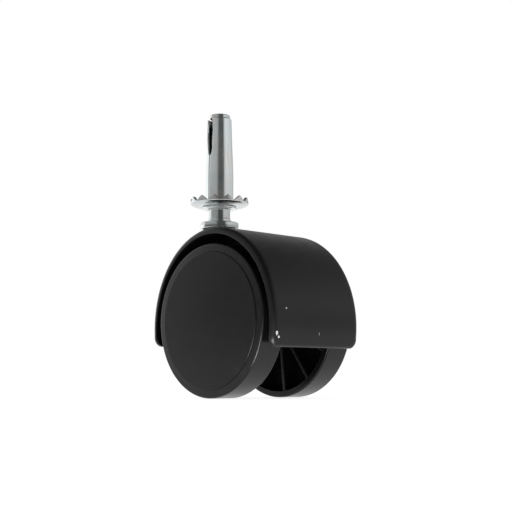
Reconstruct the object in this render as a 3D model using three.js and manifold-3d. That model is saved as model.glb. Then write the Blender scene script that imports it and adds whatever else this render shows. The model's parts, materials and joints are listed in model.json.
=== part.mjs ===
// Twin-wheel chair caster with a hooded housing, a swivelling grip-neck stem and the toothed
// socket that is driven into a wooden chair leg.
//
// Frame, in millimetres: the origin is on the swivel axis, on the toothed collar's upper floor,
// where the end of the chair leg sits. +Z runs up the stem, +Y along the wheels' axle, and +X
// from the swivel axis towards the axle, so the wheels trail on the +X side.
import * as THREE from "three";
import { mergeVertices } from "three/addons/utils/BufferGeometryUtils.js";
import Module from "manifold-3d";

const wasm = await Module();
wasm.setup();

// ---- Driving dimensions ----
const WHEEL_R = 25; // tread radius: a 50 mm wheel
const TRAIL = 18; // from the swivel axis to the axle
const AXLE_DROP = 42.4; // from the leg seat down to the axle
const WHEEL_SEGMENTS = 48;
const SMALL_SEGMENTS = 24;
const RIBS = 12;
const TEETH = 13;

// Wheels, measured outwards along the axle from the middle plane.
const RIM_INNER_Y = 10.9;
const TREAD_END_Y = 20.48; // where the tread turns over into the sloping shoulder
const TREAD_ROUND = 0.6;
const SHOULDER_Y = 20.65; // where the shoulder meets the cover
const COVER_FACE_Y = 20.95; // at the cover's edge
const COVER_CROWN = 0.15; // how much further out the middle of the cover is
const COVER_CROWN_R = 12;
const COVER_THICK = 1.6;
const COVER_R = 22.3;
const COVER_SKIRT_R = 21.8;
const COVER_SKIRT_WALL = 1.2;
const RECESS_R = 22.4;
const RIM_BORE_R = 22.8;
const RIM_CHAMFER = 0.3;
const HUB_R = 7;
const HUB_INNER_Y = 11.05;
const HUB_OUTER_Y = 16.8;
const CLIP_POCKET_R = 5.8;
const WEB_INNER_Y = 17.1;
const WEB_OUTER_Y = 18.6;
const RIB_THICK = 1.4;
const RIB_ROOT = 0.4; // how far a rib runs into the hub, the rim and the web
const RIB_EDGE_Y = 11.7;
const RIB_PHASE = THREE.MathUtils.degToRad(24.5);

// Axle and what holds the wheels on it.
const AXLE_R = 3;
const WHEEL_BORE_R = 3.1;
const AXLE_HALF = 18.4;
const CLIP_GROOVE_Y = 16.95;
const CLIP_THICK = 0.7;
const CLIP_GROOVE_R = 2.5;
const CLIP_R = 5.2;
const WASHER_R = 5.8;
const WASHER_INNER_Y = 10.3;
const WASHER_THICK = 0.6;

// Hood: a drum a little taller than it is long, cut off below its axis.
const HOOD_R = 29.65;
const HOOD_STRETCH = 1.083; // height over length of the drum's section
const HOOD_WALL = 2.15;
const HOOD_HALF = 19.65;
const HOOD_EDGE_R = 1.4;
const HOOD_SHIFT = -0.7; // from the axle to the drum's axis, along X
const HOOD_LIFT = -1.5; // from the axle to the drum's axis, along Z
const HOOD_SKIRT = 8.4; // how far the hood reaches below the axle, halfway along X
const HOOD_CUT_TILT = 1.1; // degrees: the lower edge is higher on the stem's side
const HOOD_CORNER_R = 3;

// Stem boss and axle boss inside the hood.
const BOSS_R = 8;
const BOSS_TOP_R = 6;
const BOSS_TOP_Z = -9.1;
const BOSS_FLARE = 4.5;
const BOSS_BOTTOM_Z = -38.5;
const BOSS_BORE_R = 5;
const BOSS_BORE_Z = -36.5;
const WEB_THICK = 6;
const WEB_REAR = 7; // how far the web reaches behind the drum's axis
const AXLE_BOSS_R = 6.2;
const AXLE_BOSS_HALF = 10.2;
const AXLE_BORE_R = 3.05;

// Stem.
const NECK_R = 3.75;
const NECK_FOOT_R = 4;
const NECK_FOOT = 1.1;
const SHANK_R = 4;
const FLANGE_R = 6.7;
const FLANGE_BOTTOM_Z = -9;
const FLANGE_TOP_Z = -6.7;
const STEM_BOTTOM_Z = -35.5;
const STEM_TOP_Z = 31.95;
const NECK_TOP_Z = 8;
const TIP_Z = 18; // the neck has narrowed to the tip's radius from here up
const TIP_R = 3.3;
const GROOVE_R = 2.6;
const HEAD_R = 3.6;
const RING_GROOVE_R = 3.3;
const RING_Z = -31.1;
const RING_THICK = 1;
const RING_R = 4.7;
const BUSH_BOTTOM_Z = -29.8;
const BUSH_INNER_R = 4.1;
const BUSH_R = 4.92;

// Socket: a rolled sleeve, flared under a toothed collar.
const SLEEVE_R = 4.85;
const SLEEVE_WALL = 0.7;
const SLEEVE_TOP_Z = 30.5;
const SLEEVE_TOP_R = 4.13;
const SEAM_WIDTH = 0.14;
const LIP_R = 6;
const LIP_THICK = 0.8;
const LIP_TOP_Z = -1.15;
const COLLAR_R = 10.2;
const COLLAR_PLATE = 1.1;
const COLLAR_HOLE_R = 4.95;
const DISH_R = 6.4; // the collar is flat up to here, then curves up to its wall
const TOOTH_VALLEY_Z = 0.25;
const TOOTH_TIP_Z = 2;
const TOOTH_PHASE = 2.8; // degrees

const FULL_TURN = Math.PI * 2;
const QUARTER_TURN = Math.PI / 2;

// ---- From geometry to solid and back ----
function solidOf(geometry) {
  const bare = geometry.index ? geometry.toNonIndexed() : geometry.clone();
  bare.deleteAttribute("normal");
  bare.deleteAttribute("uv");
  const merged = mergeVertices(bare, 1e-4);
  const triangles = new Uint32Array(merged.index.array);
  const build = () => {
    const vertProperties = merged.attributes.position.array;
    return new wasm.Manifold(new wasm.Mesh({ numProp: 3, vertProperties, triVerts: triangles }));
  };
  const made = build();
  if (made.volume() > 0) return made;
  for (let i = 0; i < triangles.length; i += 3) {
    [triangles[i + 1], triangles[i + 2]] = [triangles[i + 2], triangles[i + 1]];
  }
  return build();
}

function geometryOf(solid) {
  const mesh = solid.getMesh();
  const positions = new Float32Array(mesh.numVert * 3);
  for (let i = 0; i < mesh.numVert; i++) {
    const from = i * mesh.numProp;
    positions.set(mesh.vertProperties.subarray(from, from + 3), i * 3);
  }
  const geometry = new THREE.BufferGeometry();
  geometry.setAttribute("position", new THREE.BufferAttribute(positions, 3));
  geometry.setIndex(new THREE.BufferAttribute(mesh.triVerts, 1));
  return geometry;
}

// ---- Shapes ----
// A solid turned about Z from a closed outline of [radius, height] points.
function turned(outline, segments = SMALL_SEGMENTS) {
  const points = outline.map(([r, z]) => new THREE.Vector2(r, z));
  const last = outline[outline.length - 1];
  if (outline[0][0] > 0 || last[0] > 0) points.push(points[0].clone());
  return solidOf(new THREE.LatheGeometry(points, segments).rotateX(QUARTER_TURN));
}

// A quarter or other stretch of a round edge, as outline points.
function arc(centreR, centreZ, radius, from, to, steps = 3) {
  return Array.from({ length: steps + 1 }, (_, i) => {
    const angle = THREE.MathUtils.degToRad(from + ((to - from) * i) / steps);
    return [centreR + radius * Math.cos(angle), centreZ + radius * Math.sin(angle)];
  });
}

function rod(radius, from, to, segments = SMALL_SEGMENTS) {
  return turned([[0, from], [radius, from], [radius, to], [0, to]], segments);
}

function block(sizeX, sizeY, sizeZ, centre) {
  return solidOf(new THREE.BoxGeometry(sizeX, sizeY, sizeZ).translate(...centre));
}

// A plane outline pushed out by depth, centred on its own plane, then laid down by a matrix.
function slab(shape, depth, matrix) {
  const geometry = new THREE.ExtrudeGeometry(shape, { depth, bevelEnabled: false, curveSegments: 6 });
  return solidOf(geometry.translate(0, 0, -depth / 2).applyMatrix4(matrix));
}

// Turns a solid made about Z so that it lies about the axle, facing +Y or -Y.
function aboutAxle(solid, side = 1) {
  const turn = new THREE.Matrix4().makeRotationX(side * -QUARTER_TURN);
  const move = new THREE.Matrix4().makeTranslation(TRAIL, 0, -AXLE_DROP);
  return solidOf(geometryOf(solid).applyMatrix4(move.multiply(turn)));
}

// Outlines drawn in X and Z, with their depth along Y.
const UPRIGHT = new THREE.Matrix4().makeRotationX(QUARTER_TURN);
// Outlines drawn in Y and Z, with their depth along X.
const ACROSS = new THREE.Matrix4().makeBasis(
  new THREE.Vector3(0, 1, 0),
  new THREE.Vector3(0, 0, 1),
  new THREE.Vector3(1, 0, 0),
);

// A flat open ring in the XY plane, cut by a gap, standing from z up by its thickness.
function openRing(innerR, outerR, z, thick, gapDegrees) {
  const half = THREE.MathUtils.degToRad(gapDegrees / 2);
  const shape = new THREE.Shape();
  shape.absarc(0, 0, outerR, half, FULL_TURN - half, false);
  shape.absarc(0, 0, innerR, FULL_TURN - half, half, true);
  const geometry = new THREE.ExtrudeGeometry(shape, {
    depth: thick,
    bevelEnabled: false,
    curveSegments: SMALL_SEGMENTS,
  });
  return solidOf(geometry.translate(0, 0, z));
}

// ---- Wheels ----
// One moulded wheel: rim, web and hub turned in one outline, and ribs across the open inner side.
function wheelCore() {
  const body = turned(
    [
      [WHEEL_BORE_R, HUB_INNER_Y],
      [HUB_R, HUB_INNER_Y],
      [HUB_R, WEB_INNER_Y],
      [RIM_BORE_R, WEB_INNER_Y],
      [RIM_BORE_R, RIM_INNER_Y + RIM_CHAMFER],
      [RIM_BORE_R + RIM_CHAMFER, RIM_INNER_Y],
      ...arc(WHEEL_R - TREAD_ROUND, RIM_INNER_Y + TREAD_ROUND, TREAD_ROUND, -90, 0),
      ...arc(WHEEL_R - TREAD_ROUND, TREAD_END_Y - TREAD_ROUND, TREAD_ROUND, 0, 85),
      [RECESS_R, SHOULDER_Y],
      [RECESS_R, WEB_OUTER_Y],
      [CLIP_POCKET_R, WEB_OUTER_Y],
      [CLIP_POCKET_R, HUB_OUTER_Y],
      [WHEEL_BORE_R, HUB_OUTER_Y],
    ],
    WHEEL_SEGMENTS,
  );
  const ribLength = RIM_BORE_R - HUB_R + 2 * RIB_ROOT;
  const ribDepth = WEB_INNER_Y - RIB_EDGE_Y + RIB_ROOT;
  const ribCentre = [(RIM_BORE_R + HUB_R) / 2, 0, RIB_EDGE_Y + ribDepth / 2];
  const rib = new THREE.BoxGeometry(ribLength, RIB_THICK, ribDepth).translate(...ribCentre);
  let core = body;
  for (let i = 0; i < RIBS; i++) {
    core = core.add(solidOf(rib.clone().rotateZ(RIB_PHASE + (i * FULL_TURN) / RIBS)));
  }
  return core;
}

// The disc that closes the wheel's outer side, with a locating skirt behind it.
function wheelCover() {
  const back = COVER_FACE_Y - COVER_THICK;
  const skirtEnd = WEB_OUTER_Y + 0.03;
  const round = 0.22;
  return turned(
    [
      [0, back],
      [COVER_SKIRT_R - COVER_SKIRT_WALL, back],
      [COVER_SKIRT_R - COVER_SKIRT_WALL, skirtEnd],
      [COVER_SKIRT_R, skirtEnd],
      [COVER_SKIRT_R, back],
      [COVER_R, back + 0.2],
      ...arc(COVER_R - round, COVER_FACE_Y - round, round, 0, 90, 2),
      [COVER_CROWN_R, COVER_FACE_Y + COVER_CROWN * 0.7],
      [0, COVER_FACE_Y + COVER_CROWN],
    ],
    WHEEL_SEGMENTS,
  );
}

// ---- Axle group ----
function axle() {
  const end = AXLE_HALF;
  const groove = CLIP_GROOVE_Y - 0.05;
  const grooveEnd = groove + CLIP_THICK + 0.1;
  const half = [
    [AXLE_R, groove],
    [CLIP_GROOVE_R, groove],
    [CLIP_GROOVE_R, grooveEnd],
    [AXLE_R, grooveEnd],
    [AXLE_R, end - 0.4],
    [AXLE_R - 0.4, end],
    [0, end],
  ];
  const mirrored = half.map(([r, y]) => [r, -y]).reverse();
  return turned([...mirrored, ...half]);
}

function axleClip() {
  return openRing(CLIP_GROOVE_R + 0.1, CLIP_R, CLIP_GROOVE_Y, CLIP_THICK, 70);
}

function hubWasher() {
  const outer = WASHER_INNER_Y + WASHER_THICK;
  return turned([
    [AXLE_R + 0.15, WASHER_INNER_Y],
    [WASHER_R, WASHER_INNER_Y],
    [WASHER_R, outer],
    [AXLE_R + 0.15, outer],
  ]);
}

// ---- Housing ----
// The drum's full ring about the axle direction, before it is cut off below.
function hoodRing() {
  const inner = HOOD_R - HOOD_WALL;
  const edge = HOOD_EDGE_R;
  const ring = turned(
    [
      [inner, -HOOD_HALF],
      ...arc(HOOD_R - edge, edge - HOOD_HALF, edge, -90, 0),
      ...arc(HOOD_R - edge, HOOD_HALF - edge, edge, 0, 90),
      [inner, HOOD_HALF],
    ],
    2 * WHEEL_SEGMENTS,
  );
  return aboutAxle(ring.scale([1, HOOD_STRETCH, 1])).translate([HOOD_SHIFT, 0, HOOD_LIFT]);
}

// What is kept of the ring, seen along X: straight below, with round lower corners.
function hoodWindow() {
  const bottom = -HOOD_SKIRT;
  const top = HOOD_R + 1;
  const side = HOOD_HALF + 1;
  const shoulder = HOOD_CORNER_R + 4; // above it the window is wider than the hood
  const shape = new THREE.Shape();
  shape.moveTo(-side, top);
  shape.lineTo(-side, bottom + shoulder);
  shape.lineTo(-HOOD_HALF, bottom + HOOD_CORNER_R);
  shape.absarc(HOOD_CORNER_R - HOOD_HALF, bottom + HOOD_CORNER_R, HOOD_CORNER_R, Math.PI, 1.5 * Math.PI);
  shape.absarc(HOOD_HALF - HOOD_CORNER_R, bottom + HOOD_CORNER_R, HOOD_CORNER_R, 1.5 * Math.PI, FULL_TURN);
  shape.lineTo(side, bottom + shoulder);
  shape.lineTo(side, top);
  const window = slab(shape, 4 * HOOD_R, ACROSS).rotate([0, HOOD_CUT_TILT, 0]);
  return window.translate([TRAIL, 0, -AXLE_DROP]);
}

function stemBoss() {
  return turned([
    [0, BOSS_BOTTOM_Z],
    [BOSS_R - 1, BOSS_BOTTOM_Z],
    [BOSS_R, BOSS_BOTTOM_Z + 1],
    [BOSS_R, BOSS_TOP_Z - BOSS_FLARE],
    [BOSS_R - 1.3, BOSS_TOP_Z - BOSS_FLARE * 0.45],
    [BOSS_TOP_R, BOSS_TOP_Z - 0.3],
    [BOSS_TOP_R - 0.3, BOSS_TOP_Z],
    [0, BOSS_TOP_Z],
  ]);
}

// The plate that ties the stem boss and the axle boss to the roof of the hood.
function middleWeb() {
  const drumX = TRAIL + HOOD_SHIFT;
  const drumZ = HOOD_LIFT - AXLE_DROP;
  const reach = HOOD_R - HOOD_WALL / 2;
  const roof = (x) => [x, drumZ + HOOD_STRETCH * Math.sqrt(reach * reach - (x - drumX) * (x - drumX))];
  const shape = new THREE.Shape();
  shape.moveTo(0, BOSS_BOTTOM_Z);
  shape.lineTo(TRAIL, -AXLE_DROP - AXLE_BOSS_R * 0.6);
  shape.lineTo(TRAIL + AXLE_BOSS_R * 0.8, -AXLE_DROP);
  const roofSteps = 6;
  for (let i = 0; i <= roofSteps; i++) {
    shape.lineTo(...roof(((drumX + WEB_REAR) * (roofSteps - i)) / roofSteps));
  }
  return slab(shape, WEB_THICK, UPRIGHT);
}

function housing() {
  const axleBoss = aboutAxle(rod(AXLE_BOSS_R, -AXLE_BOSS_HALF, AXLE_BOSS_HALF));
  const axleBore = aboutAxle(rod(AXLE_BORE_R, -HOOD_HALF, HOOD_HALF));
  const stemBore = rod(BOSS_BORE_R, BOSS_BORE_Z, 0);
  return hoodRing()
    .intersect(hoodWindow())
    .add(stemBoss())
    .add(middleWeb())
    .add(axleBoss)
    .subtract(axleBore)
    .subtract(stemBore);
}

// ---- Stem group ----
function stemPin() {
  const ringTop = RING_Z + RING_THICK + 0.15;
  const ringBottom = RING_Z - 0.15;
  const edge = 0.7;
  return turned([
    [0, STEM_BOTTOM_Z],
    [SHANK_R - 1.2, STEM_BOTTOM_Z],
    [SHANK_R, STEM_BOTTOM_Z + 1.6],
    [SHANK_R, ringBottom],
    [RING_GROOVE_R, ringBottom],
    [RING_GROOVE_R, ringTop],
    [SHANK_R, ringTop],
    [SHANK_R, FLANGE_BOTTOM_Z],
    ...arc(FLANGE_R - 0.4, FLANGE_BOTTOM_Z + 0.4, 0.4, -90, 0, 2),
    ...arc(FLANGE_R - edge, FLANGE_TOP_Z - edge, edge, 0, 90),
    [NECK_FOOT_R, FLANGE_TOP_Z],
    [NECK_FOOT_R, FLANGE_TOP_Z + NECK_FOOT],
    [NECK_R, FLANGE_TOP_Z + NECK_FOOT + 0.2],
    [NECK_R, NECK_TOP_Z],
    [TIP_R + 0.1, TIP_Z],
    [TIP_R, SLEEVE_TOP_Z - 2.4],
    [GROOVE_R, SLEEVE_TOP_Z - 2],
    [GROOVE_R, SLEEVE_TOP_Z - 0.4],
    [HEAD_R, SLEEVE_TOP_Z + 0.5],
    ...arc(HEAD_R - 0.6, STEM_TOP_Z - 0.6, 0.6, 0, 90, 2),
    [0, STEM_TOP_Z],
  ]);
}

function stemSnapRing() {
  return openRing(RING_GROOVE_R + 0.1, RING_R, RING_Z, RING_THICK, 40);
}

function swivelBush() {
  const top = BOSS_TOP_Z - 0.1;
  return turned([
    [BUSH_INNER_R, BUSH_BOTTOM_Z],
    [BUSH_R, BUSH_BOTTOM_Z],
    [BUSH_R, top],
    [BUSH_INNER_R, top],
  ]);
}

// ---- Socket ----
// Outer radius of the sleeve by height: straight, then pinched in towards the slotted top.
const SLEEVE_OUTLINE = [
  [SLEEVE_R, LIP_TOP_Z - 0.3],
  [SLEEVE_R, 11],
  [SLEEVE_R - 0.1, 14],
  [SLEEVE_R - 0.38, 20],
  [SLEEVE_R - 0.58, 26],
  [SLEEVE_TOP_R, SLEEVE_TOP_Z],
];

// The tear-shaped slot that lets the top of the sleeve spring, half of its width by height.
const SLOT_BOTTOM_Z = 17;
const SLOT_HALF_WIDTHS = [
  [0, SLOT_BOTTOM_Z],
  [0.4, 17.2],
  [0.65, 17.6],
  [0.8, 18.4],
  [1.05, 20],
  [1.38, 22],
  [1.22, 25],
  [0.78, 28.4],
  [0.6, SLEEVE_TOP_Z],
  [0.6, SLEEVE_TOP_Z + 1],
];
const SLOT_TURN = -2; // degrees, from facing -Y

// The slot, and under it the seam where the rolled sheet's edges meet, as a cutter.
function slotAndSeam() {
  const reach = 2 * SLEEVE_R;
  const outwards = -reach / 2 - 1.2;
  const right = SLOT_HALF_WIDTHS.map(([half, z]) => new THREE.Vector2(half, z));
  const left = right.slice(1).map(({ x, y }) => new THREE.Vector2(-x, y));
  const slot = new THREE.Shape([...right, ...left.reverse()]);
  const seamLength = SLOT_BOTTOM_Z - LIP_TOP_Z + 0.4;
  const seamMiddle = LIP_TOP_Z + seamLength / 2;
  return slab(slot, reach, UPRIGHT)
    .translate([0, outwards, 0])
    .add(block(SEAM_WIDTH, reach, seamLength, [0, outwards, seamMiddle]))
    .rotate([0, 0, SLOT_TURN]);
}

function socketSleeve() {
  const lipBottom = LIP_TOP_Z - LIP_THICK;
  const lipEdge = 0.2;
  const inner = SLEEVE_OUTLINE.map(([r, z]) => [r - SLEEVE_WALL, z]).reverse();
  const tube = turned(
    [
      [SLEEVE_R - SLEEVE_WALL + 0.5, lipBottom],
      [LIP_R - lipEdge, lipBottom],
      [LIP_R, lipBottom + lipEdge],
      [LIP_R, LIP_TOP_Z],
      [SLEEVE_R, LIP_TOP_Z],
      ...SLEEVE_OUTLINE.slice(1),
      ...inner,
    ],
    2 * SMALL_SEGMENTS,
  );
  return tube.subtract(slotAndSeam());
}

// A quarter of an ellipse, level where it starts and upright where it ends, as outline points.
function dish(fromR, fromZ, toR, toZ, steps = 5) {
  return Array.from({ length: steps + 1 }, (_, i) => {
    const angle = (QUARTER_TURN * i) / steps;
    return [fromR + (toR - fromR) * Math.sin(angle), toZ + (fromZ - toZ) * Math.cos(angle)];
  });
}

// One V between two teeth, wide enough to clear the wall above it, standing on +Y.
function toothNotch() {
  const wallR = COLLAR_R - COLLAR_PLATE;
  const past = 1.25; // how far the cutter reaches above the tips, as a share of their height
  const half = past * wallR * Math.tan(Math.PI / TEETH);
  const top = TOOTH_VALLEY_Z + past * (TOOTH_TIP_Z - TOOTH_VALLEY_Z);
  const notch = new THREE.Shape();
  notch.moveTo(0, TOOTH_VALLEY_Z);
  notch.lineTo(half, top);
  notch.lineTo(-half, top);
  return slab(notch, 5 * COLLAR_PLATE, UPRIGHT).translate([0, wallR, 0]);
}

// A dished collar: a flat floor, a round bend and a low wall that is notched into teeth.
function toothedCollar() {
  const wallR = COLLAR_R - COLLAR_PLATE;
  let collar = turned(
    [
      [COLLAR_HOLE_R, -COLLAR_PLATE],
      ...dish(DISH_R, -COLLAR_PLATE, COLLAR_R, TOOTH_VALLEY_Z),
      [COLLAR_R, TOOTH_TIP_Z],
      [wallR, TOOTH_TIP_Z],
      ...dish(DISH_R, 0, wallR, TOOTH_VALLEY_Z, 3).reverse(),
      [COLLAR_HOLE_R, 0],
    ],
    4 * TEETH,
  );
  const notch = toothNotch();
  for (let i = 0; i < TEETH; i++) {
    const degrees = ((i + 0.5) * 360) / TEETH;
    collar = collar.subtract(notch.rotate([0, 0, degrees - 90]));
  }
  return collar.rotate([0, 0, TOOTH_PHASE]);
}

// ---- Materials ----
const plastic = (color, roughness) => new THREE.MeshStandardMaterial({ color, roughness, metalness: 0 });
const metal = (color, roughness) => new THREE.MeshStandardMaterial({ color, roughness, metalness: 1 });
const hoodNylon = plastic(0x2b2b2b, 0.55);
const wheelNylon = plastic(0x242424, 0.45);
const zincPlate = metal(0xb9bcbb, 0.28);
const axleSteel = metal(0x9a9a9a, 0.3);
const springSteel = metal(0x50504e, 0.4);
const bushSteel = metal(0xa09c90, 0.45);

// ---- Assembly ----
const caster = new THREE.Group();

function place(name, solid, material) {
  const mesh = new THREE.Mesh(geometryOf(solid), material);
  mesh.name = name;
  caster.add(mesh);
}

place("socket_sleeve", socketSleeve(), zincPlate);
place("toothed_collar", toothedCollar(), zincPlate);
place("stem_pin", stemPin(), zincPlate);
place("stem_snap_ring", stemSnapRing(), springSteel);
place("housing", housing(), hoodNylon);
place("swivel_bush", swivelBush(), bushSteel);
place("axle", aboutAxle(axle()), axleSteel);
for (const [name, side] of [["left", -1], ["right", 1]]) {
  place(`wheel_${name}`, aboutAxle(wheelCore(), side), wheelNylon);
  place(`wheel_cover_${name}`, aboutAxle(wheelCover(), side), wheelNylon);
  place(`hub_washer_${name}`, aboutAxle(hubWasher(), side), bushSteel);
  place(`axle_clip_${name}`, aboutAxle(axleClip(), side), springSteel);
}

export default caster;
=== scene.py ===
"""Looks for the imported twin-wheel caster: detailed meshes for the pieces that show, and their
materials, light, floor and camera. Sizes are in millimetres in the part's own frame."""
import json
import math

import bmesh
import bpy
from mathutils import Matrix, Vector

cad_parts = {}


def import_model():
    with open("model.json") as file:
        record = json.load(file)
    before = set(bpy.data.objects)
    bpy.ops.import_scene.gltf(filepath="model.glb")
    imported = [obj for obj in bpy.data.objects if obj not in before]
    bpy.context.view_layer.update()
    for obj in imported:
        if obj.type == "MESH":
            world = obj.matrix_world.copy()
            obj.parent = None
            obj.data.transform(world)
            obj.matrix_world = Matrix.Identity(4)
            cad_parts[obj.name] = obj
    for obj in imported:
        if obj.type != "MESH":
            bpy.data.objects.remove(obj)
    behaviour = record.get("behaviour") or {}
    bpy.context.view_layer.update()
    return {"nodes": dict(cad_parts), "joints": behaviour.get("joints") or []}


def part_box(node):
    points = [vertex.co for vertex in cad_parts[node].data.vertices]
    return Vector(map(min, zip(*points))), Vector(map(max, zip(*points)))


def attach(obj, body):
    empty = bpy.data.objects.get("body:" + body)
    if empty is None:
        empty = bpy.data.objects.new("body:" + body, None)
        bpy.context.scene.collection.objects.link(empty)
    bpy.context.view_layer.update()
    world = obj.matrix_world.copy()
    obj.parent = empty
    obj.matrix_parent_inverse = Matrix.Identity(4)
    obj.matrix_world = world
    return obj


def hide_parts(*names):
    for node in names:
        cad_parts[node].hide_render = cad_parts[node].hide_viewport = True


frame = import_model()

MM = 0.001

# ---- How finely the meshes are made ----
SMOOTH_ANGLE = math.radians(32)
ROUND_SEGMENTS = 160
HOOD_CURVE_STEPS = 600
HOOD_STEPS_ALONG = 140
HOOD_STEPS_ACROSS = 36
WELD_STEPS = 8
HALVINGS = 40
ROOF_STEPS = 24
SLEEVE_STEPS_UP = 70
SLEEVE_STEPS_ROUND = 90
DISH_STEPS = 14
TOOTH_STEPS = 12

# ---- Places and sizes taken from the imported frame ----
JOINTS = {joint["name"]: joint for joint in frame["joints"]}
AXLE_X, _, AXLE_Z = (value / MM for value in JOINTS["right_wheel_roll"]["pos_m"])
STEM_LOW, STEM_HIGH = (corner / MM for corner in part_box("stem_pin"))
SLEEVE_LOW, SLEEVE_HIGH = (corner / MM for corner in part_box("socket_sleeve"))
RING_LOW, RING_HIGH = (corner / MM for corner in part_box("stem_snap_ring"))
COLLAR_LOW, COLLAR_HIGH = (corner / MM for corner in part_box("toothed_collar"))
HOOD_LOW, HOOD_HIGH = (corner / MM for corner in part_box("housing"))
WHEEL_LOW, WHEEL_HIGH = (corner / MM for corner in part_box("wheel_right"))

# ---- Wheels: heights run outwards along the axle ----
WHEEL_R = (WHEEL_HIGH.x - WHEEL_LOW.x) / 2
RIM_INNER, SHOULDER = WHEEL_LOW.y, WHEEL_HIGH.y
TREAD_END = 20.48
RIM_BORE_R = 22.8
RECESS_R = 22.36
SHOULDER_ROUND = 0.04
TREAD_END_ROUND = 0.7
TREAD_START_ROUND = 0.6
RIM_BORE_ROUND = 0.3
RIM_FILLET = 0.6
COVER_R = 22.3
COVER_FACE = 20.95
COVER_THICK = 1.6
COVER_BACK = COVER_FACE - COVER_THICK
COVER_EDGE_ROUND = 0.22
COVER_BACK_BEVEL = 0.2
COVER_SKIRT_INNER_R = 20.6
COVER_SKIRT_OUTER_R = 21.8
COVER_SKIRT = 0.5
COVER_SKIRT_ROUND = 0.1
COVER_CROWN_R = 12
COVER_CROWN_RISE = 0.1
COVER_MIDDLE_RISE = 0.15
HUB_R = 7
HUB_INNER = 11.05
HUB_OUTER = 16.8
HUB_ROUND = 0.4
HUB_FILLET = 0.5
WEB_INNER = 17.1
WEB_OUTER = 18.6
WHEEL_BORE_R = 3.1
CLIP_POCKET_R = 5.8
RIBS = 12
RIB_PHASE = math.radians(24.5)
RIB_EDGE = 11.7
RIB_EDGE_THICK = 1.2
RIB_ROOT_THICK = 1.6
RIB_SUNK = 0.4
RIB_ROUND = 0.2

# ---- Hood: an elliptical drum, open below ----
HOOD_HALF = HOOD_HIGH.y
HOOD_A = (HOOD_HIGH.x - HOOD_LOW.x) / 2
HOOD_TALLER = 1.083
HOOD_B = HOOD_A * HOOD_TALLER
HOOD_X = (HOOD_HIGH.x + HOOD_LOW.x) / 2
HOOD_UNDER_AXLE = 1.5
HOOD_Z = AXLE_Z - HOOD_UNDER_AXLE
HOOD_SKIRT = -8.4
HOOD_CUT_SLOPE = math.tan(math.radians(-1.1))
HOOD_WALL = 2.15
HOOD_CROWN_WALL = 0.18
HOOD_CORNER_R = 3
HOOD_RIM_ROUND = 1.9
HOOD_LIP_ROUND = 0.9
HOOD_INNER_ROUND = 0.35
HOOD_END_FADE = 2
HOOD_END_STEPS = [0, 0.05, 0.15, 0.3, 0.5, 0.75, 1.05, 1.4, 1.8, 2.4, HOOD_CORNER_R]
HOOD_RIM_STEPS = [0, 0.04, 0.12, 0.25, 0.45, 0.7, 1, 1.4, 1.9, 2.6]

# ---- Bosses and web inside the hood ----
BOSS_TOP = HOOD_HIGH.z
BOSS_BOTTOM = -38.5
BOSS_R = 8
BOSS_BORE_R = 5
# The outside of the stem boss, as (radius, drop from its top).
BOSS_OUTLINE = [(5.7, 0), (6, -0.3), (6.15, -1), (6.7, -2.1), (7.4, -3.2), (7.85, -4.2), (8, -5)]
BOSS_FLOOR = 2
BOSS_MOUTH_BEVEL = 0.2
BOSS_FOOT_BEVEL = 1
BOSS_WELD = 2.2
WELD_SUNK = 1
WELD_UNDER_TOP = 0.5
WEB_THICK = 6
WEB_REAR = 7
WEB_UNDER_BOSS = 2
WEB_UNDER_AXLE = 1.4
WEB_OVER_AXLE = 2.4
BORE_CLEAR_R = 6.5
AXLE_BOSS_R = 6.2
AXLE_BOSS_HALF = 10.2
AXLE_BOSS_ROUND = 0.5
INSIDE_BOSS = AXLE_BOSS_R * 0.78
BESIDE_BORE = AXLE_BOSS_R * 0.7
AXLE_BORE_R = 3.05

# ---- Stem ----
SHANK_R = 4
SHANK_END_R = SHANK_R - 1.2
SHANK_END_HEIGHT = 1.6
RING_GROOVE_R = 3.3
RING_PLAY = 0.15
FLANGE_R = STEM_HIGH.x
FLANGE_BOTTOM = -9
FLANGE_TOP = -6.7
NECK_FOOT_R = 4
NECK_FOOT_TOP = FLANGE_TOP + 1.2
NECK_R = 3.75
NECK_BOTTOM = FLANGE_TOP + 1.35
NECK_TOP = 8
TIP_R = 3.3
TIP_TAPER = 0.1
TIP_BOTTOM = 18
TAPER_ROUND = 2
STEM_WIDE_ROUND = 0.4
STEM_ROUND = 0.3
STEM_SMALL_ROUND = 0.2
FLANGE_FILLET = 0.25
HEAD_UNDER_ROUND = 0.1
GROOVE_R = 2.6
GROOVE_BEVEL = 0.4
GROOVE_BOTTOM = SLEEVE_HIGH.z - 2
GROOVE_TOP = SLEEVE_HIGH.z - 0.4
HEAD_R = 3.6
HEAD_BOTTOM = SLEEVE_HIGH.z + 0.2

# ---- Socket ----
SLEEVE_TOP = SLEEVE_HIGH.z
SLEEVE_WALL = 0.7
SLEEVE_BOTTOM = -1.15
# The outside of the sleeve, as (height, radius).
SLEEVE_OUTLINE = [
    (SLEEVE_BOTTOM, 4.85), (11, 4.85), (14, 4.76), (20, 4.47), (26, 4.27), (SLEEVE_TOP, 4.13),
]
SLEEVE_EDGE_STEPS = [0, 0.03, 0.1, 0.2, 0.35]
SLEEVE_EDGE_ROUND = 0.22
SLOT_BOTTOM = 17
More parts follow.
